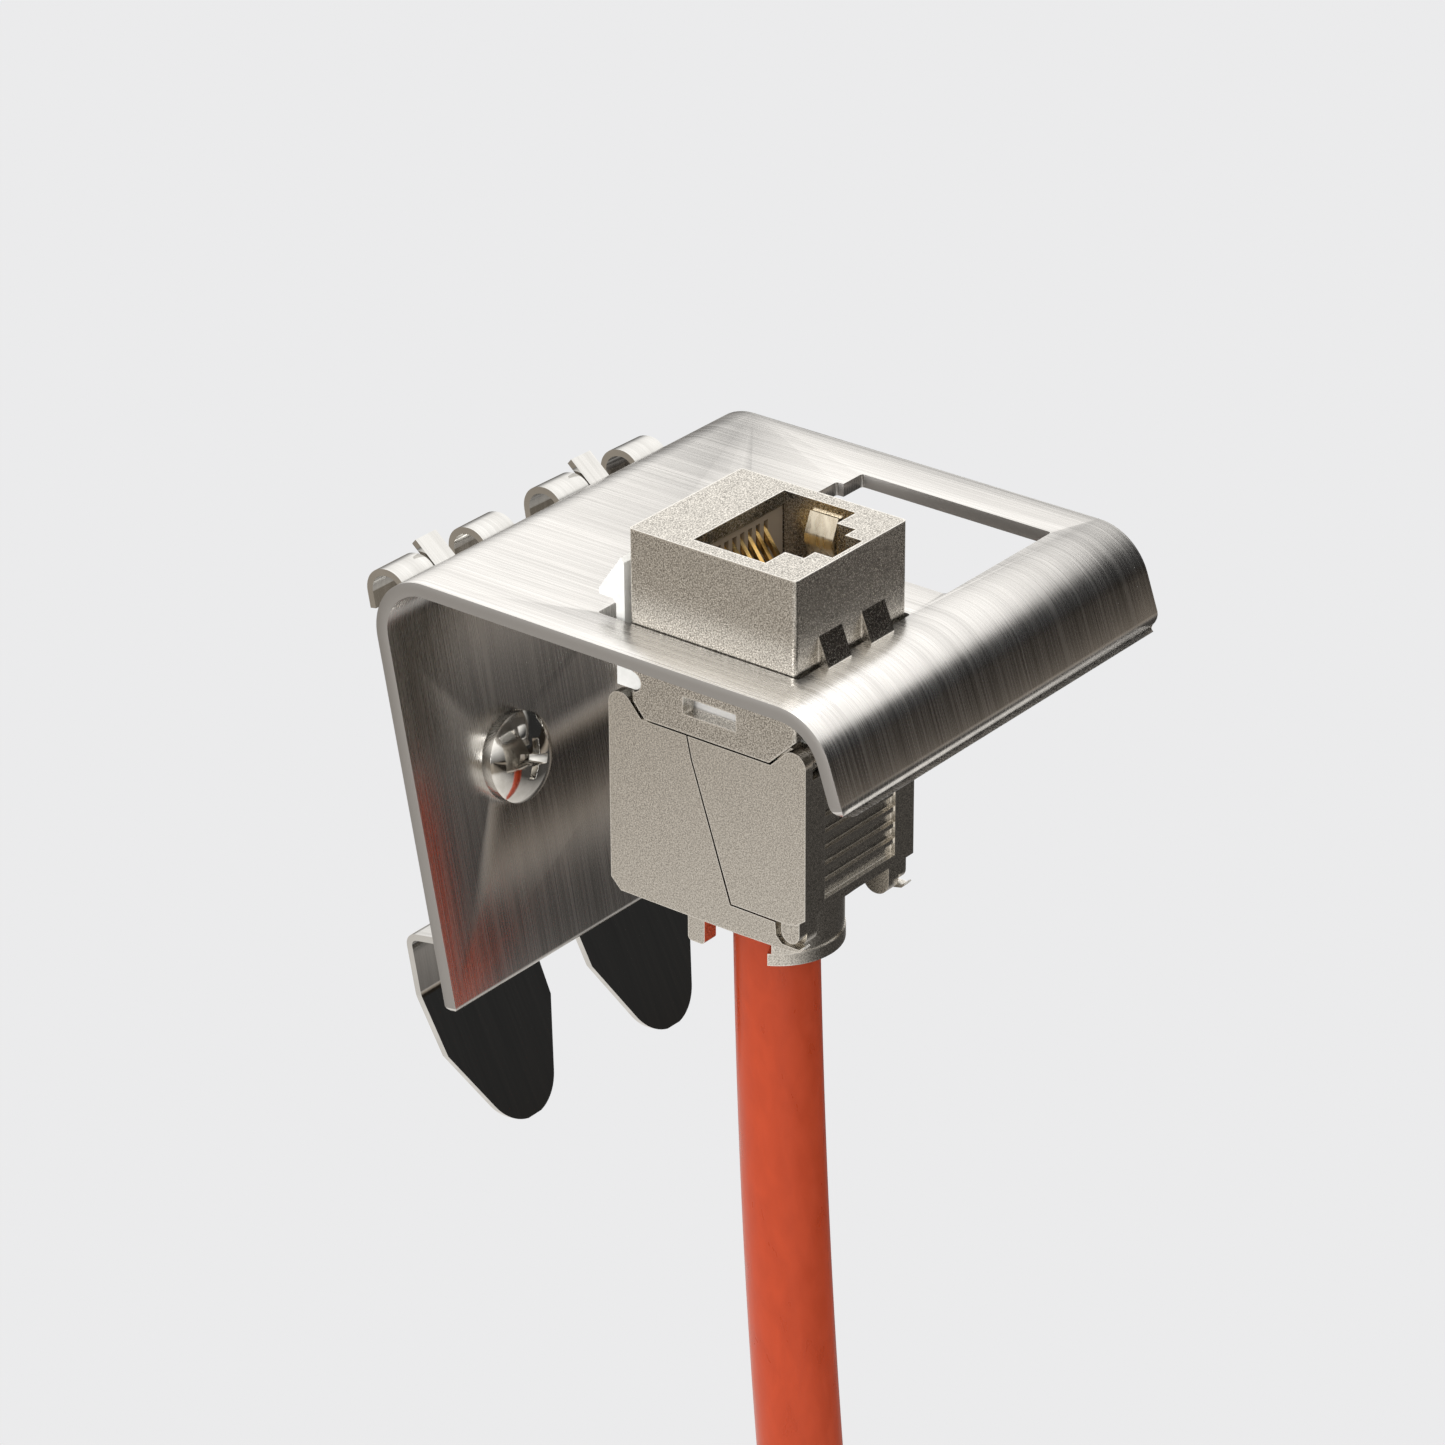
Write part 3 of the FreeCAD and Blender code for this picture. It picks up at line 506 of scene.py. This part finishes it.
tree.links.new(banded.outputs["Result"], sheared.inputs["A"])
tree.links.new(sheared.outputs["Result"], shader.inputs["Base Color"])

# Small scuffs from handling
scuffs = tree.nodes.new("ShaderNodeTexNoise")
scuffs.inputs["Scale"].default_value = 900
scuffs.inputs["Detail"].default_value = 6
scuffs.inputs["Roughness"].default_value = 0.8
worn = tree.nodes.new("ShaderNodeMapRange")
worn.inputs["From Min"].default_value = 0.66
worn.inputs["From Max"].default_value = 0.74
worn.inputs["To Max"].default_value = 0.3
scuffed = tree.nodes.new("ShaderNodeMix")
scuffed.inputs["B"].default_value = 0.6
tree.links.new(coords.outputs["Object"], scuffs.inputs["Vector"])
tree.links.new(scuffs.outputs["Fac"], worn.inputs["Value"])
tree.links.new(worn.outputs["Result"], scuffed.inputs["Factor"])
tree.links.new(grain_polish, scuffed.inputs["A"])
tree.links.new(cut_face.outputs["Value"], dull.inputs["Factor"])
tree.links.new(scuffed.outputs["Result"], dull.inputs["A"])
tree.links.new(dull.outputs["Result"], shader.inputs["Roughness"])
dress(bracket, steel)

# Rail clips
# Two bright strips of spring steel behind the plate, with rolled hooks at the top and a
# turned-back foot. Each is pressed from one strip and held by its screw and square nut.
spring_strip = surface(
    "spring_strip",
    brush_marks,
    dark=(0.56, 0.55, 0.53),
    light=(0.72, 0.71, 0.69),
    roughness=(0.06, 0.14),
    stretch=(2500, 80, 80),
    bump=0.06,
    depth=0.00002,
)
for name in ("clip_left", "clip_right"):
    dress(nodes[name], spring_strip, 0.00006)

# Screws
# Pan heads in polished nickel plate, with a tapered cross recess. Each goes through the
# plate and its clip; the dome is cut from a ball, and the brim and shank are drawn from it.
head_radius = 0.0039
dome_height = 0.0016
brim_height = 0.001
shank_radius = 0.00195
shank_length = 0.006
point_length = 0.0004
recess_span = 0.0046
recess_width = 0.0009
recess_depth = 0.0026
recess_middle = -0.0040
screw_turns = {"left": 20, "right": 58}
head_edge = 0.00006
dome_base = plate_middle - sheet / 2 - brim_height
ball_radius = (head_radius ** 2 + dome_height ** 2) / (2 * dome_height)
ball_y = dome_base - dome_height + ball_radius
nickel = surface(
    "polished_nickel",
    soft_clouds,
    dark=(0.66, 0.64, 0.60),
    light=(0.80, 0.78, 0.74),
    roughness=(0.05, 0.12),
    stretch=(8, 8, 8),
    bump=0.05,
    depth=0.0001,
)
for side, spot in screw_spots.items():
    bpy.ops.object.select_all(action="DESELECT")
    bpy.ops.mesh.primitive_uv_sphere_add(
        segments=56,
        ring_count=64,
        radius=ball_radius,
        location=(spot, ball_y, screw_height),
        rotation=(math.pi / 2, 0, 0),
    )
    head = bpy.context.object
    head.name = "pan_screw_" + side
    bpy.ops.object.transform_apply(location=True, rotation=True, scale=True)
    pick(head, lambda face: True, "FACE")
    bpy.ops.mesh.bisect(plane_co=(0, dome_base, 0), plane_no=(0, 1, 0), clear_outer=True, use_fill=True)
    pick(head, lambda face: face.normal.y > 0.99 and len(face.verts) > 8, "FACE")
    bpy.ops.mesh.extrude_region_move(TRANSFORM_OT_translate={"value": (0, brim_height, 0)})
    bpy.ops.mesh.inset(thickness=head_radius - shank_radius)
    bpy.ops.mesh.extrude_region_move(TRANSFORM_OT_translate={"value": (0, shank_length, 0)})
    bpy.ops.mesh.extrude_region_move(TRANSFORM_OT_translate={"value": (0, point_length, 0)})
    bpy.ops.transform.resize(value=(0.8, 1, 0.8))
    bpy.ops.object.mode_set(mode="OBJECT")
    recess_place = (spot, recess_middle, screw_height)
    for quarter in (0, 90):
        bpy.ops.mesh.primitive_cube_add(
            size=1,
            location=recess_place,
            scale=(recess_span, recess_depth, recess_width),
        )
        slot = bpy.context.object
        bpy.ops.object.transform_apply(location=False, rotation=False, scale=True)
        pick(slot, lambda face: face.normal.y > 0.9, "FACE")
        bpy.ops.transform.resize(value=(0.45, 1, 0.7), center_override=recess_place)
        bpy.ops.object.mode_set(mode="OBJECT")
        slot.rotation_euler = (0, math.radians(screw_turns[side] + quarter), 0)
        subtract(head, slot)
    soften(head, head_edge)
    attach(head, "adapter")
    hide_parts("screw_" + side)
    dress(head, nickel)

# Jack housing and wings
# Zinc castings with a sandy nickel plate, rubbed bright along their edges, with a painted
# highlight mixed into those edges as well. The wings are smoother than the housing and hang
# on two blind pins at its sides.
# Edge mask for rubbed wear and a painted highlight: how far a rounded normal turns from the plain one.
worn_and_highlit_edges = bpy.data.node_groups.new("worn_and_highlit_edges", "ShaderNodeTree")
worn_and_highlit_edges.interface.new_socket("Reach", in_out="INPUT", socket_type="NodeSocketFloat")
worn_and_highlit_edges.interface.new_socket("Factor", in_out="OUTPUT", socket_type="NodeSocketFloat")
start = worn_and_highlit_edges.nodes.new("NodeGroupInput")
end = worn_and_highlit_edges.nodes.new("NodeGroupOutput")
rounded = worn_and_highlit_edges.nodes.new("ShaderNodeBevel")
rounded.samples = 6
plain = worn_and_highlit_edges.nodes.new("ShaderNodeNewGeometry")
turned = worn_and_highlit_edges.nodes.new("ShaderNodeVectorMath")
turned.operation = "DOT_PRODUCT"
edge_wear_and_highlight = worn_and_highlit_edges.nodes.new("ShaderNodeMapRange")
edge_wear_and_highlight.inputs["From Min"].default_value = 0.995
edge_wear_and_highlight.inputs["From Max"].default_value = 0.90
worn_and_highlit_edges.links.new(start.outputs["Reach"], rounded.inputs["Radius"])
worn_and_highlit_edges.links.new(rounded.outputs["Normal"], turned.inputs[0])
worn_and_highlit_edges.links.new(plain.outputs["Normal"], turned.inputs[1])
worn_and_highlit_edges.links.new(turned.outputs["Value"], edge_wear_and_highlight.inputs["Value"])
worn_and_highlit_edges.links.new(edge_wear_and_highlight.outputs["Result"], end.inputs["Factor"])


def rub_and_highlight(finish, reach):
    """Makes a finish brighter and smoother along the piece's edges, as rubbed wear and as a painted
    highlight.
    """
    tree = finish.node_tree
    shader = tree.nodes["Principled BSDF"]
    edges = tree.nodes.new("ShaderNodeGroup")
    edges.node_tree = worn_and_highlit_edges
    edges.inputs["Reach"].default_value = reach
    # Painted highlight together with rubbed wear: the edges' base colour is mixed towards a pale tint.
    colour = tree.nodes.new("ShaderNodeMix")
    colour.data_type = "RGBA"
    colour.inputs["B"].default_value = (0.92, 0.89, 0.84, 1)
    smooth = tree.nodes.new("ShaderNodeMix")
    smooth.inputs["B"].default_value = 0.14
    tree.links.new(edges.outputs["Factor"], colour.inputs["Factor"])
    tree.links.new(edges.outputs["Factor"], smooth.inputs["Factor"])
    tree.links.new(shader.inputs["Base Color"].links[0].from_socket, colour.inputs["A"])
    tree.links.new(shader.inputs["Roughness"].links[0].from_socket, smooth.inputs["A"])
    tree.links.new(colour.outputs["Result"], shader.inputs["Base Color"])
    tree.links.new(smooth.outputs["Result"], shader.inputs["Roughness"])


sandy_grain = texture_group("sandy_grain", 6500.0, 4.0, 0.7)
casting = surface(
    "sandy_nickel",
    sandy_grain,
    dark=(0.19, 0.175, 0.155),
    light=(0.88, 0.84, 0.77),
    roughness=(0.16, 0.28),
    stretch=(1.25, 1.25, 1.25),
    bump=0.5,
    depth=0.00003,
    spread=(0.38, 0.60),
)
rub_and_highlight(casting, 0.0003)
dress(nodes["jack_housing"], casting, 0.00015)
wing_casting = surface(
    "satin_nickel",
    sandy_grain,
    dark=(0.34, 0.32, 0.29),
    light=(0.82, 0.785, 0.72),
    roughness=(0.15, 0.26),
    stretch=(1.25, 1.25, 1.25),
    bump=0.35,
    depth=0.00003,
    spread=(0.36, 0.60),
)
rub_and_highlight(wing_casting, 0.0002)
for name in ("wing_rear", "wing_front"):
    dress(nodes[name], wing_casting, 0.00012)
pin_steel = surface(
    "pin_steel",
    brush_marks,
    dark=(0.50, 0.50, 0.50),
    light=(0.68, 0.68, 0.68),
    roughness=(0.15, 0.3),
    stretch=(60, 3000, 3000),
)
for name in ("hinge_pin_rear", "hinge_pin_front"):
    dress(nodes[name], pin_steel)

# Latch and the jack's mouldings
# The latch springs on a thin root behind the housing. The contact carrier is clipped into
# the housing: pale where its window shows it, and smoky inside the port.
white = surface(
    "white_moulding",
    moulded_skin,
    dark=(0.74, 0.74, 0.72),
    light=(0.82, 0.82, 0.80),
    roughness=(0.38, 0.5),
    metallic=0.0,
    depth=0.00003,
)
dress(nodes["latch"], white, 0.0001)
for name in ("idc_block", "lacing_cap"):
    dress(nodes[name], white, 0.00008)
smoky = surface(
    "carrier_moulding",
    moulded_skin,
    dark=(0.82, 0.81, 0.79),
    light=(0.88, 0.87, 0.86),
    roughness=(0.4, 0.5),
    metallic=0.0,
    depth=0.00003,
)
tree = smoky.node_tree
shader = tree.nodes["Principled BSDF"]
coords = tree.nodes.new("ShaderNodeTexCoord")
split = tree.nodes.new("ShaderNodeSeparateXYZ")
inside_port = tree.nodes.new("ShaderNodeMapRange")
inside_port.inputs["From Min"].default_value = 0.0125
inside_port.inputs["From Max"].default_value = 0.0150
tinted = tree.nodes.new("ShaderNodeMix")
tinted.data_type = "RGBA"
tinted.inputs["B"].default_value = (0.27, 0.215, 0.16, 1)
tree.links.new(coords.outputs["Object"], split.inputs["Vector"])
tree.links.new(split.outputs["Z"], inside_port.inputs["Value"])
tree.links.new(inside_port.outputs["Result"], tinted.inputs["Factor"])
tree.links.new(shader.inputs["Base Color"].links[0].from_socket, tinted.inputs["A"])
tree.links.new(tinted.outputs["Result"], shader.inputs["Base Color"])
dress(nodes["carrier"], smoky)

# Contacts, blades, shield springs and board
# Gold-flashed bronze wires bend over the carrier into the port. They are soldered in the
# board with the tinned blades, and bright springs beside the port touch a plug's shield.
gold = surface(
    "gold_flash",
    soft_clouds,
    dark=(0.80, 0.52, 0.18),
    light=(0.95, 0.70, 0.32),
    roughness=(0.12, 0.25),
    stretch=(6, 6, 6),
)
dress(nodes["contacts"], gold)
blade = surface(
    "tinned_blade",
    brush_marks,
    dark=(0.60, 0.52, 0.40),
    light=(0.78, 0.70, 0.56),
    roughness=(0.2, 0.35),
    stretch=(2000, 2000, 60),
)
for name in ("idc_blades", "spring_left", "spring_right"):
    dress(nodes[name], blade)
board = surface(
    "solder_mask",
    moulded_skin,
    dark=(0.02, 0.10, 0.04),
    light=(0.04, 0.16, 0.07),
    roughness=(0.25, 0.4),
    metallic=0.0,
)
dress(nodes["board"], board)

# Stage
# A pale floor well below the cable's end, plain white to the camera. The metal sees it as
# a studio floor that darkens towards the front right and, less, behind the adapter.
plain_white = (0.831, 0.831, 0.838, 1)
front_right = (0.75, -0.66, 0)
bpy.ops.mesh.primitive_plane_add(size=12, location=(0, 0, -0.2))
floor = bpy.context.object
floor.name = "floor"
pale = bpy.data.materials.new("pale_floor")
pale.use_nodes = True
tree = pale.node_tree
shader = tree.nodes["Principled BSDF"]
shader.inputs["Base Color"].default_value = (0.7, 0.7, 0.7, 1)
shader.inputs["Roughness"].default_value = 0.8
glow = tree.nodes.new("ShaderNodeEmission")
glow.inputs["Color"].default_value = plain_white
coords = tree.nodes.new("ShaderNodeTexCoord")
towards = tree.nodes.new("ShaderNodeVectorMath")
towards.operation = "DOT_PRODUCT"
towards.inputs[1].default_value = front_right
fall = tree.nodes.new("ShaderNodeValToRGB")
fall.color_ramp.elements[0].position = 0.0
fall.color_ramp.elements[0].color = (0.90, 0.87, 0.83, 1)
fall.color_ramp.elements[1].position = 0.9
fall.color_ramp.elements[1].color = (0.05, 0.045, 0.04, 1)
for distance, level in ((0.22, 0.07), (0.40, 0.07), (0.54, 0.8), (0.66, 0.8)):
    fall.color_ramp.elements.new(distance).color = (level, level * 0.94, level * 0.88, 1)
reach = tree.nodes.new("ShaderNodeVectorMath")
reach.operation = "LENGTH"
far = tree.nodes.new("ShaderNodeMapRange")
far.interpolation_type = "SMOOTHSTEP"
far.inputs["From Min"].default_value = 0.42
far.inputs["From Max"].default_value = 0.62
fade = tree.nodes.new("ShaderNodeMix")
fade.data_type = "RGBA"
fade.blend_type = "MULTIPLY"
fade.inputs["B"].default_value = (0.42, 0.385, 0.34, 1)
mirrored = tree.nodes.new("ShaderNodeEmission")
ray = tree.nodes.new("ShaderNodeLightPath")
glossy = tree.nodes.new("ShaderNodeMixShader")
choose = tree.nodes.new("ShaderNodeMixShader")
tree.links.new(coords.outputs["Object"], towards.inputs[0])
tree.links.new(towards.outputs["Value"], fall.inputs["Fac"])
tree.links.new(coords.outputs["Object"], reach.inputs[0])
tree.links.new(reach.outputs["Value"], far.inputs["Value"])
tree.links.new(far.outputs["Result"], fade.inputs["Factor"])
tree.links.new(fall.outputs["Color"], fade.inputs["A"])
tree.links.new(fade.outputs["Result"], mirrored.inputs["Color"])
tree.links.new(ray.outputs["Is Glossy Ray"], glossy.inputs["Fac"])
tree.links.new(shader.outputs["BSDF"], glossy.inputs[1])
tree.links.new(mirrored.outputs["Emission"], glossy.inputs[2])
tree.links.new(ray.outputs["Is Camera Ray"], choose.inputs["Fac"])
tree.links.new(glossy.outputs["Shader"], choose.inputs[1])
tree.links.new(glow.outputs["Emission"], choose.inputs[2])
tree.links.new(choose.outputs["Shader"], tree.nodes["Material Output"].inputs["Surface"])
floor.data.materials.append(pale)

# Studio light
# A bright ceiling that darkens towards the horizon, with one dark side at the front right
# for the lip, the tongues and the screws to mirror, and two soft boxes.
world = bpy.data.worlds.new("studio")
bpy.context.scene.world = world
world.use_nodes = True
tree = world.node_tree
sky = tree.nodes["Background"]
sky.inputs["Strength"].default_value = 1.5
coords = tree.nodes.new("ShaderNodeTexCoord")
split = tree.nodes.new("ShaderNodeSeparateXYZ")
shade = tree.nodes.new("ShaderNodeValToRGB")
shade.color_ramp.elements[0].position = 0.0
shade.color_ramp.elements[0].color = (0.12, 0.115, 0.11, 1)
shade.color_ramp.elements[1].position = 0.78
shade.color_ramp.elements[1].color = (1.0, 0.99, 0.97, 1)
for height, level in ((0.14, 0.3), (0.45, 0.84)):
    shade.color_ramp.elements.new(height).color = (level, level * 0.985, level * 0.96, 1)
towards = tree.nodes.new("ShaderNodeVectorMath")
towards.operation = "DOT_PRODUCT"
towards.inputs[1].default_value = front_right
aside = tree.nodes.new("ShaderNodeMapRange")
aside.interpolation_type = "SMOOTHSTEP"
aside.inputs["From Min"].default_value = 0.25
aside.inputs["From Max"].default_value = 0.75
low = tree.nodes.new("ShaderNodeMapRange")
low.interpolation_type = "SMOOTHSTEP"
low.inputs["From Min"].default_value = 0.55
low.inputs["From Max"].default_value = 0.30
dark = tree.nodes.new("ShaderNodeMath")
dark.operation = "MULTIPLY"
paint = tree.nodes.new("ShaderNodeMix")
paint.data_type = "RGBA"
paint.inputs["B"].default_value = (0.02, 0.02, 0.02, 1)
backdrop = tree.nodes.new("ShaderNodeBackground")
backdrop.inputs["Color"].default_value = plain_white
ray = tree.nodes.new("ShaderNodeLightPath")
choose = tree.nodes.new("ShaderNodeMixShader")
tree.links.new(coords.outputs["Generated"], split.inputs["Vector"])
tree.links.new(coords.outputs["Generated"], towards.inputs[0])
tree.links.new(split.outputs["Z"], shade.inputs["Fac"])
tree.links.new(split.outputs["Z"], low.inputs["Value"])
tree.links.new(towards.outputs["Value"], aside.inputs["Value"])
tree.links.new(aside.outputs["Result"], dark.inputs[0])
tree.links.new(low.outputs["Result"], dark.inputs[1])
tree.links.new(dark.outputs["Value"], paint.inputs["Factor"])
tree.links.new(shade.outputs["Color"], paint.inputs["A"])
tree.links.new(paint.outputs["Result"], sky.inputs["Color"])
tree.links.new(ray.outputs["Is Camera Ray"], choose.inputs["Fac"])
tree.links.new(sky.outputs["Background"], choose.inputs[1])
tree.links.new(backdrop.outputs["Background"], choose.inputs[2])
tree.links.new(choose.outputs["Shader"], tree.nodes["World Output"].inputs["Surface"])


def soft_box(name, location, size, energy):
    """Hangs a square lamp and turns it to the middle of the bracket."""
    bpy.ops.object.light_add(type="AREA", location=location)
    lamp = bpy.context.object
    lamp.name = name
    lamp.data.size = size
    lamp.data.energy = energy
    aim = Vector((0, -0.02, 0)) - lamp.location
    lamp.rotation_euler = aim.to_track_quat("-Z", "Y").to_euler()


soft_box("top_box", (-0.15, -0.1, 0.75), 0.7, 4)
soft_box("side_box", (-0.7, 0.05, 0.15), 0.25, 1.6)
bpy.context.scene.view_settings.view_transform = "Standard"

bpy.context.view_layer.update()
